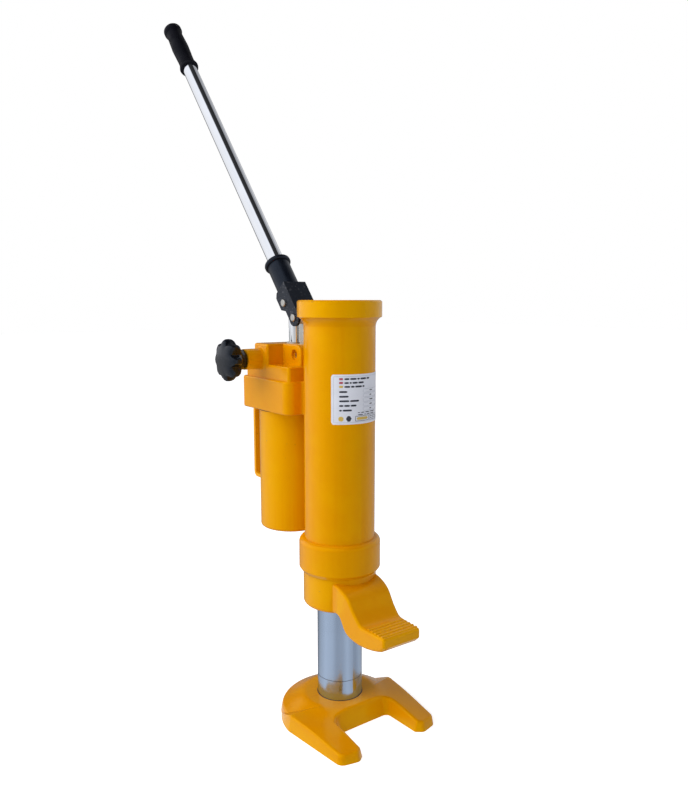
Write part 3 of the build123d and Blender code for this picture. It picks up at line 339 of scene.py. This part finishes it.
finishes = {
    "cast_enamel": enamel("cast_enamel", cast=1.0),
    "smooth_enamel": enamel("smooth_enamel", cast=0.0),
    "ram_chrome": chrome("ram_chrome", (0.46, 0.58, 0.78), roughness=0.17, scales=(30.0, 30.0, 1500.0)),
    "bright_chrome": chrome("bright_chrome", (0.93, 0.96, 1.0), roughness=0.05, scales=(300.0, 300.0, 300.0)),
    "black_enamel": black_enamel(),
    "moulded_black": moulded_black(),
    "grip_rubber": grip_rubber(),
    "plated_steel": plated_steel(),
    "turned_steel": turned_steel(),
    "turned_bronze": turned_bronze(),
    "seal_rubber": seal_rubber(),
    "film": printed("label_film", (0.84, 0.87, 0.95)),
    "ink": printed("label_ink", (0.022, 0.026, 0.045)),
    "grey_ink": printed("label_grey_ink", (0.42, 0.46, 0.55)),
    "red_ink": printed("label_red_ink", (0.50, 0.10, 0.14)),
    "yellow_ink": printed("label_yellow_ink", (0.72, 0.50, 0.10)),
}

BY_SLOT = {
    "yellow_paint": "smooth_enamel",
    "chrome": "bright_chrome",
    "black_paint": "black_enamel",
    "black_plastic": "moulded_black",
    "black_rubber": "grip_rubber",
    "zinc_steel": "plated_steel",
    "machined_steel": "turned_steel",
    "bronze": "turned_bronze",
    "seal_rubber": "seal_rubber",
    "label": "film",
}
BY_NODE = {
    "base_casting": "cast_enamel",
    "cylinder_housing": "cast_enamel",
    "toe_casting": "cast_enamel",
    "ram": "ram_chrome",
}


def paint_cad_nodes():
    """Gives every CAD node its own finish, or else the finish of its material slot."""
    slots = {part["node"]: part["material_slot"] for part in frame["record"]["subparts"]}
    for name, node in frame["nodes"].items():
        finish = finishes[BY_NODE.get(name, BY_SLOT[slots[name]])]
        node.data.materials.clear()
        node.data.materials.append(finish)


def new_piece(name, vertices, faces, finish, body, smooth=False):
    """Mesh object in the shared frame that rides on a CAD body."""
    mesh = bpy.data.meshes.new(name)
    mesh.from_pydata(vertices, [], faces)
    mesh.validate()
    mesh.materials.append(finishes[finish])
    if smooth:
        mesh.shade_smooth()
    piece = bpy.data.objects.new(name, mesh)
    bpy.context.scene.collection.objects.link(piece)
    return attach(piece, body)


# ---------------------------------------------------------------- data plate on the tube
PLATE_LOW, PLATE_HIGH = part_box("rating_plate")
FILM_RADIUS = PLATE_HIGH.x
PLATE_START = math.asin(PLATE_LOW.y / FILM_RADIUS)
PLATE_STOP = math.asin(PLATE_HIGH.y / FILM_RADIUS)

# millimetres across and up from the plate's lower left corner, down to WORD_GAP
WIDTH = (PLATE_STOP - PLATE_START) * FILM_RADIUS / MM
HEIGHT = (PLATE_HIGH.z - PLATE_LOW.z) / MM
FILM_THICKNESS, PRINT_THICKNESS = 0.30, 0.10
FILM_CORNER, BAR_CORNER, WORD_CORNER = 3.0, 0.15, 0.4
STRIP_WIDTH = 1.5
# left end, middle height and word lengths of each line
LARGE_LINES = [
    (16.5, 56.4, (6.2, 8.4, 3.4, 9.0, 5.0)),
    (16.5, 51.6, (5.4, 2.6, 7.0, 8.0)),
    (16.5, 46.8, (7.2, 4.6, 9.4, 3.0)),
    (10.0, 40.6, (10.0,)),
    (10.0, 34.8, (11.6,)),
    (10.0, 29.2, (12.6, 12.0)),
    (10.0, 23.4, (5.2, 7.0, 7.6)),
    (10.0, 17.6, (3.2, 11.6)),
]
SMALL_LINES = [
    (34.0, 14.2, (3.4, 6.0, 8.0, 12.0)),
    (34.0, 11.6, (8.4, 4.0, 6.0, 9.0)),
]
LARGE_LETTERS, SMALL_LETTERS = 2.2, 1.1
WORD_GAP = 1.1


def rounded_outline(left, right, low, high, radius, steps=6):
    """Corner-rounded rectangle as (across, up) points, anticlockwise."""
    radius = min(radius, (right - left) / 2, (high - low) / 2)
    corners = [
        (right - radius, low + radius, -90),
        (right - radius, high - radius, 0),
        (left + radius, high - radius, 90),
        (left + radius, low + radius, 180),
    ]
    points = []
    for across, up, start in corners:
        for step in range(steps + 1):
            angle = math.radians(start + 90 * step / steps)
            points.append((across + radius * math.cos(angle), up + radius * math.sin(angle)))
    return points


def span_at(outline, across):
    """Lowest and highest point of a closed outline at one place across it."""
    close = 1e-9
    hits = []
    for (start, start_up), (end, end_up) in zip(outline, outline[1:] + outline[:1]):
        low, high = min(start, end), max(start, end)
        if low - close <= across <= high + close:
            if high - low < close:
                hits += [start_up, end_up]
            else:
                hits.append(start_up + (end_up - start_up) * (across - start) / (end - start))
    return min(hits), max(hits)


class Wrapped:
    """Collects thin flat shapes wrapped round the tube, drawn in millimetres on the plate."""

    def __init__(self, inner, thickness):
        self.radii = (inner, inner + thickness)
        self.vertices = []
        self.faces = []

    def shape(self, outline):
        """Adds a closed outline as a thin slab, cut into upright strips so that it follows the curve."""
        first = min(across for across, _ in outline)
        last = max(across for across, _ in outline)
        count = max(2, int((last - first) / STRIP_WIDTH))
        cuts = [first + (last - first) * i / count for i in range(count + 1)]
        spans = [span_at(outline, cut) for cut in cuts]
        for i in range(count):
            left, right = cuts[i], cuts[i + 1]
            (left_low, left_high), (right_low, right_high) = spans[i], spans[i + 1]
            self.strip(((left, left_low), (right, right_low), (right, right_high), (left, left_high)))

    def strip(self, corners):
        start = len(self.vertices)
        for radius in self.radii:
            for across, up in corners:
                angle = PLATE_START + across * MM / FILM_RADIUS
                place = (radius * math.cos(angle), radius * math.sin(angle), PLATE_LOW.z + up * MM)
                self.vertices.append(place)
        for quad in ((4, 5, 6, 7), (3, 2, 1, 0), (0, 1, 5, 4), (1, 2, 6, 5), (2, 3, 7, 6), (3, 0, 4, 7)):
            self.faces.append([start + i for i in quad])

    def bar(self, left, low, right, high, corner=BAR_CORNER):
        self.shape(rounded_outline(left, right, low, high, corner))

    def border(self, left, low, right, high, line):
        self.bar(left, low, right, low + line)
        self.bar(left, high - line, right, high)
        self.bar(left, low + line, left + line, high - line)
        self.bar(right - line, low + line, right, high - line)

    def disc(self, across, up, radius):
        angles = [math.radians(degrees) for degrees in range(0, 360, 15)]
        self.shape([(across + radius * math.cos(a), up + radius * math.sin(a)) for a in angles])

    def words(self, lines, letters):
        """Plain bars in place of words."""
        for left, middle, lengths in lines:
            for length in lengths:
                self.bar(left, middle - letters / 2, left + length, middle + letters / 2, WORD_CORNER)
                left += length + WORD_GAP

    def piece(self, name, finish):
        piece = new_piece(name, self.vertices, self.faces, finish, "cylinder")
        return piece


def plate_table(ink, grey):
    """Five framed rows at the plate's right, each with a bar of its own length."""
    pitch, height = 5.7, 4.6
    bar_left, shortest, step = 54.0, 4.0, 1.7
    for row in range(5):
        low = 16.0 + pitch * row
        length = shortest + step * (row % 3)
        grey.border(left=42.0, low=low, right=WIDTH - 6.0, high=low + height, line=0.30)
        ink.bar(bar_left, low + 1.6, bar_left + length, low + 3.0, corner=0.3)


def plate_foot(ink):
    """A disc and two framed boxes along the plate's lower edge, with two rows of bars in the right one."""
    low, high = 3.6, 10.2
    ink.border(left=30.5, low=low, right=52.0, high=high, line=0.55)
    ink.border(left=53.5, low=low, right=WIDTH - 6.0, high=high, line=0.45)
    ink.disc(across=22.0, up=7.2, radius=3.6)
    pitch, lower_length, upper_length = 5.0, 3.3, 3.7
    for i in range(4):
        left = 55.5 + pitch * i
        ink.bar(left, low=5.4, right=left + lower_length, high=6.4)
        ink.bar(left, low=7.6, right=left + upper_length, high=8.6)


def plate_tags(red, amber):
    """Coloured tags, two along the plate's lower edge and three at the starts of the top lines."""
    amber.bar(left=32.5, low=5.2, right=50.0, high=8.6, corner=1.0)
    amber.bar(left=9.0, low=4.2, right=15.2, high=10.0, corner=1.6)
    left, right, height = 10.0, 14.6, 2.8
    for ink, low in ((red, 55.0), (red, 50.4), (amber, 45.6)):
        ink.bar(left, low, right, low + height)


def data_plate():
    """White film with rounded corners; its print is plain bars and boxes that say nothing."""
    film = Wrapped(FILM_RADIUS - FILM_THICKNESS * MM, FILM_THICKNESS * MM)
    film.shape(rounded_outline(0, WIDTH, 0, HEIGHT, FILM_CORNER))
    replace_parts(film.piece("data_plate_film", "film"), "rating_plate")

    ink, grey, red, amber = (Wrapped(FILM_RADIUS, PRINT_THICKNESS * MM) for _ in range(4))
    ink.words(LARGE_LINES, LARGE_LETTERS)
    ink.words(SMALL_LINES, SMALL_LETTERS)
    plate_table(ink, grey)
    inset_across, inset_up = 3.0, 2.4
    grey.border(inset_across, inset_up, WIDTH - inset_across, HEIGHT - inset_up, line=0.25)
    plate_foot(ink)
    plate_tags(red, amber)
    ink.piece("data_plate_print", "ink")
    grey.piece("data_plate_boxes", "grey_ink")
    red.piece("data_plate_red_tags", "red_ink")
    amber.piece("data_plate_amber_tags", "yellow_ink")


# ---------------------------------------------------------------- fine lines round the ram
RAM_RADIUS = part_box("ram")[1].x
BASE_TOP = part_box("base_casting")[1].z


def upright_ring(name, profile, height, body, steps=96):
    """Closed ring round the ram's axis, from (radius, distance above the height) points."""
    count = len(profile)
    vertices, faces = [], []
    for step in range(steps):
        angle = 2 * math.pi * step / steps
        vertices += [(r * math.cos(angle), r * math.sin(angle), height + rise) for r, rise in profile]
    for step in range(steps):
        here, there = step * count, (step + 1) % steps * count
        for i in range(count):
            j = (i + 1) % count
            faces.append((here + i, here + j, there + j, there + i))
    return new_piece(name, vertices, faces, "seal_rubber", body, smooth=True)


def ram_foot_line():
    """Fine dark line round the ram a little above the base, standing 0.02 mm proud of it."""
    above_base, half, proud = 27.0 * MM, 0.30 * MM, 0.02 * MM
    inner, outer = RAM_RADIUS - proud, RAM_RADIUS + proud
    profile = [(inner, -half), (outer, -half), (outer, half), (inner, half)]
    line = upright_ring("ram_foot_line", profile, BASE_TOP + above_base, "column")


def ram_gap_shade():
    """Dark ring of painted shade in the gap where the ram goes into the base."""
    inner, outer, sunk = RAM_RADIUS + 0.12 * MM, RAM_RADIUS + 0.70 * MM, 0.3 * MM
    outer_rise, inner_rise = 0.1 * MM, 0.45 * MM
    profile = [(inner, -sunk), (outer, -sunk), (outer, outer_rise), (inner, inner_rise)]
    shade_ring = upright_ring("ram_gap_shade", profile, BASE_TOP, "base")


# ---------------------------------------------------------------- star knob of the release valve
KNOB_LOBES = 8
KNOB_STEPS = 160
# above 1 makes the lobes wider than the hollows between them
LOBE_FULLNESS = 1.3
# distance from the face as a share of the knob's length, then the lobes' reach and the hollows' depth,
# both as shares of the knob's radius
KNOB_SECTIONS = [
    (0.000, 0.02, 0.00), (0.004, 0.20, 0.00), (0.020, 0.45, 0.00), (0.050, 0.68, 0.02),
    (0.090, 0.84, 0.08), (0.150, 0.94, 0.16), (0.230, 0.99, 0.22), (0.330, 1.00, 0.25),
    (0.440, 0.99, 0.25), (0.530, 0.95, 0.24), (0.600, 0.88, 0.20), (0.660, 0.76, 0.12),
    (0.710, 0.64, 0.05), (0.760, 0.55, 0.01), (0.820, 0.50, 0.00), (0.985, 0.47, 0.00),
    (1.000, 0.44, 0.00),
]


def star_knob():
    """Moulded knob with round lobes, a domed face and a tapered back that runs into the hub."""
    low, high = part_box("release_knob")
    middle = (low + high) / 2
    radius, length = (high.x - low.x) / 2, high.y - low.y
    vertices, faces = [], []
    for along, reach, hollow in KNOB_SECTIONS:
        for step in range(KNOB_STEPS):
            angle = 2 * math.pi * step / KNOB_STEPS
            notch = (0.5 - 0.5 * math.cos(KNOB_LOBES * angle)) ** LOBE_FULLNESS
            r = radius * (reach - hollow * notch)
            place = (middle.x + r * math.cos(angle), low.y + length * along, middle.z + r * math.sin(angle))
            vertices.append(place)
    for section in range(len(KNOB_SECTIONS) - 1):
        here, there = section * KNOB_STEPS, (section + 1) * KNOB_STEPS
        for step in range(KNOB_STEPS):
            after = (step + 1) % KNOB_STEPS
            faces.append((here + step, there + step, there + after, here + after))
    faces.append(tuple(range(KNOB_STEPS)))
    faces.append(tuple(reversed(range(len(vertices) - KNOB_STEPS, len(vertices)))))
    knob = new_piece("star_knob", vertices, faces, "moulded_black", "release_valve", smooth=True)
    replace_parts(knob, "release_knob")


# ---------------------------------------------------------------- studio
HEAD_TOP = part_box("cylinder_housing")[1].z
VIEW_AZIMUTH = math.radians(55.0)
TOWARDS_CAMERA = Vector((math.sin(VIEW_AZIMUTH), -math.cos(VIEW_AZIMUTH), 0))
CAMERA_RIGHT = Vector((math.cos(VIEW_AZIMUTH), math.sin(VIEW_AZIMUTH), 0))

# Light levels by direction, as (place, level). For the floor's reflection and the walls the place is a turn
# round the jack: 0 and 1 behind it, 0.25 on the camera's left, 0.5 at the camera, 0.75 on its right.
FLOOR_REFLECTION = [
    (0.0, 0.15), (0.10, 0.25), (0.18, 0.55), (0.30, 0.78), (0.40, 0.70), (0.46, 0.52), (0.54, 0.56),
    (0.60, 0.72), (0.66, 0.60), (0.72, 0.46), (0.80, 0.60), (0.90, 0.46), (1.0, 0.30),
]
WALLS = [
    (0.0, 0.25), (0.096, 0.08), (0.122, 1.02), (0.24, 1.15), (0.36, 1.10), (0.42, 0.72), (0.48, 0.55),
    (0.54, 0.60), (0.60, 0.95), (0.67, 0.80), (0.74, 1.15), (0.80, 0.80), (0.86, 1.05), (0.93, 0.80),
    (1.0, 0.35),
]
# for the ceiling the place runs from the camera's near left, 0, to its far right, 1
CEILING = [(0.0, 1.10), (0.310, 1.20), (0.355, 0.05), (0.60, 0.03), (0.705, 0.05), (0.745, 0.42), (1.0, 0.55)]
WALL_TINT = (1.0, 1.0, 1.03)
CEILING_TINT = (0.97, 0.98, 1.03)
# height of a direction, as the Z of a unit vector mapped to 0 to 1, between which walls turn into ceiling
CEILING_START, CEILING_FULL = 0.50, 0.70
# levels go above 1, so a ramp holds them divided by this and the emitter multiplies them back
HEADROOM = 2.0


class Studio(Nodes):
    """Nodes that set a light level by direction."""

    def dot(self, vector, direction):
        made = self.node("ShaderNodeVectorMath", operation="DOT_PRODUCT")
        self.link(vector, made.inputs[0])
        made.inputs[1].default_value = direction
        return made.outputs["Value"]

    def turn(self, vector):
        """Direction round the jack, from 0 to 1."""
        angle = self.node("ShaderNodeMath", operation="ARCTAN2")
        self.link(self.dot(vector, CAMERA_RIGHT), angle.inputs[0])
        self.link(self.dot(vector, TOWARDS_CAMERA), angle.inputs[1])
        return self.ramp(angle.outputs[0], -math.pi, math.pi)

    def levels(self, source, stops, tint=(1.0, 1.0, 1.0)):
        """Light level along a 0 to 1 source."""
        made = self.node("ShaderNodeValToRGB")
        elements = made.color_ramp.elements
        while len(elements) < len(stops):
            elements.new(0.5)
        for element, (position, level) in zip(elements, stops):
            element.position = position
            element.color = (*shade(tint, level / HEADROOM), 1.0)
        self.link(source, made.inputs[0])
        return made.outputs[0]

    def choose(self, switch, off, on, surface):
        """Sends the first shader to the output, or the second one where the switch is on."""
        made = self.node("ShaderNodeMixShader")
        self.link(switch, made.inputs["Fac"])
        self.link(off.outputs[0], made.inputs[1])
        self.link(on.outputs[0], made.inputs[2])
        self.link(made.outputs[0], surface)


def add_floor():
    """Large pale floor that melts into the white background but still takes a soft shadow."""
    half_width, glow_to_camera = 12.0, 0.72
    corners = [(x * half_width, y * half_width, 0) for x, y in ((-1, -1), (1, -1), (1, 1), (-1, 1))]
    mesh = bpy.data.meshes.new("floor")
    mesh.from_pydata(corners, [], [(0, 1, 2, 3)])
    floor = bpy.data.objects.new("floor", mesh)
    bpy.context.scene.collection.objects.link(floor)
    pale = Finish("pale_floor", (0.86, 0.86, 0.87), roughness=0.85)
    pale.patches((0.83, 0.83, 0.84), scale=3.0, detail=2.0, start=0.4, full=0.7, amount=0.2)
    pale.set("Specular IOR Level", 0.1)
    pale.set("Emission Color", (1.0, 1.0, 1.0, 1.0))
    rays = pale.node("ShaderNodeLightPath").outputs
    glow = pale.ramp(rays["Is Camera Ray"], 0.0, 1.0, high=glow_to_camera)
    pale.link(glow, pale.shader.inputs["Emission Strength"])
    mesh.materials.append(pale.done())
    studio = Studio(pale.tree)
    mirrored = studio.node("ShaderNodeEmission")
    mirrored.inputs["Strength"].default_value = HEADROOM
    studio.link(studio.levels(studio.turn(pale.place), FLOOR_REFLECTION), mirrored.inputs["Color"])
    surface = pale.tree.nodes["Material Output"].inputs["Surface"]
    studio.choose(rays["Is Glossy Ray"], pale.shader, mirrored, surface)


def add_world():
    """White studio: plain white to the camera, and walls and ceiling of many levels to everything else."""
    strength = 0.80
    world = bpy.data.worlds.new("studio")
    bpy.context.scene.world = world
    world.use_nodes = True
    world.node_tree.nodes.clear()
    studio = Studio(world.node_tree)
    where = studio.node("ShaderNodeTexCoord").outputs["Generated"]
    walls = studio.levels(studio.turn(where), WALLS, WALL_TINT)
    far_right = (CAMERA_RIGHT - TOWARDS_CAMERA).normalized()
    across = studio.ramp(studio.dot(where, far_right), -1.0, 1.0)
    ceiling = studio.levels(across, CEILING, CEILING_TINT)
    height = studio.ramp(studio.dot(where, UP), CEILING_START, CEILING_FULL)
    light = studio.node("ShaderNodeBackground")
    light.inputs["Strength"].default_value = HEADROOM * strength
    studio.link(studio.blend(height, walls, ceiling), light.inputs["Color"])
    plain = studio.node("ShaderNodeBackground")
    plain.inputs["Color"].default_value = (1.0, 1.0, 1.0, 1.0)
    rays = studio.node("ShaderNodeLightPath").outputs
    surface = studio.node("ShaderNodeOutputWorld").inputs["Surface"]
    studio.choose(rays["Is Camera Ray"], light, plain, surface)


def add_key_light():
    """Large soft lamp on the camera's left that doesn't show in reflections."""
    middle = UP * HEAD_TOP * 0.6
    to_left, forward, higher = 1.5, 0.5, 1.2
    data = bpy.data.lights.new("key", "AREA")
    data.shape = "SQUARE"
    data.size = 2.2
    data.energy = 29.0
    lamp = bpy.data.objects.new("key", data)
    lamp.location = middle - CAMERA_RIGHT * to_left + TOWARDS_CAMERA * forward + UP * higher
    lamp.rotation_euler = (middle - lamp.location).to_track_quat("-Z", "Y").to_euler()
    lamp.visible_glossy = False
    bpy.context.scene.collection.objects.link(lamp)


def add_camera():
    """Camera level with the head's top, tilted down and turned a little to its right."""
    distance = 0.944
    tilt, yaw = math.radians(8.152), math.radians(0.345)
    data = bpy.data.cameras.new("camera")
    data.sensor_width = 36.0
    data.lens = 33.636
    data.shift_y = 0.01263
    data.clip_start = 0.01
    camera = bpy.data.objects.new("camera", data)
    bpy.context.scene.collection.objects.link(camera)
    level = CAMERA_RIGHT * math.sin(yaw) - TOWARDS_CAMERA * math.cos(yaw)
    right = CAMERA_RIGHT * math.cos(yaw) + TOWARDS_CAMERA * math.sin(yaw)
    forward = level * math.cos(tilt) - UP * math.sin(tilt)
    above = UP * math.cos(tilt) + level * math.sin(tilt)
    place = TOWARDS_CAMERA * distance + UP * HEAD_TOP
    camera.matrix_world = Matrix.Translation(place) @ Matrix((right, above, -forward)).transposed().to_4x4()
    bpy.context.scene.camera = camera


paint_cad_nodes()
data_plate()
ram_foot_line()
# painted shade: a dark ring in the gap round the ram's foot
ram_gap_shade()
star_knob()
add_floor()
add_world()
add_key_light()
add_camera()
bpy.context.scene.view_settings.view_transform = "Standard"
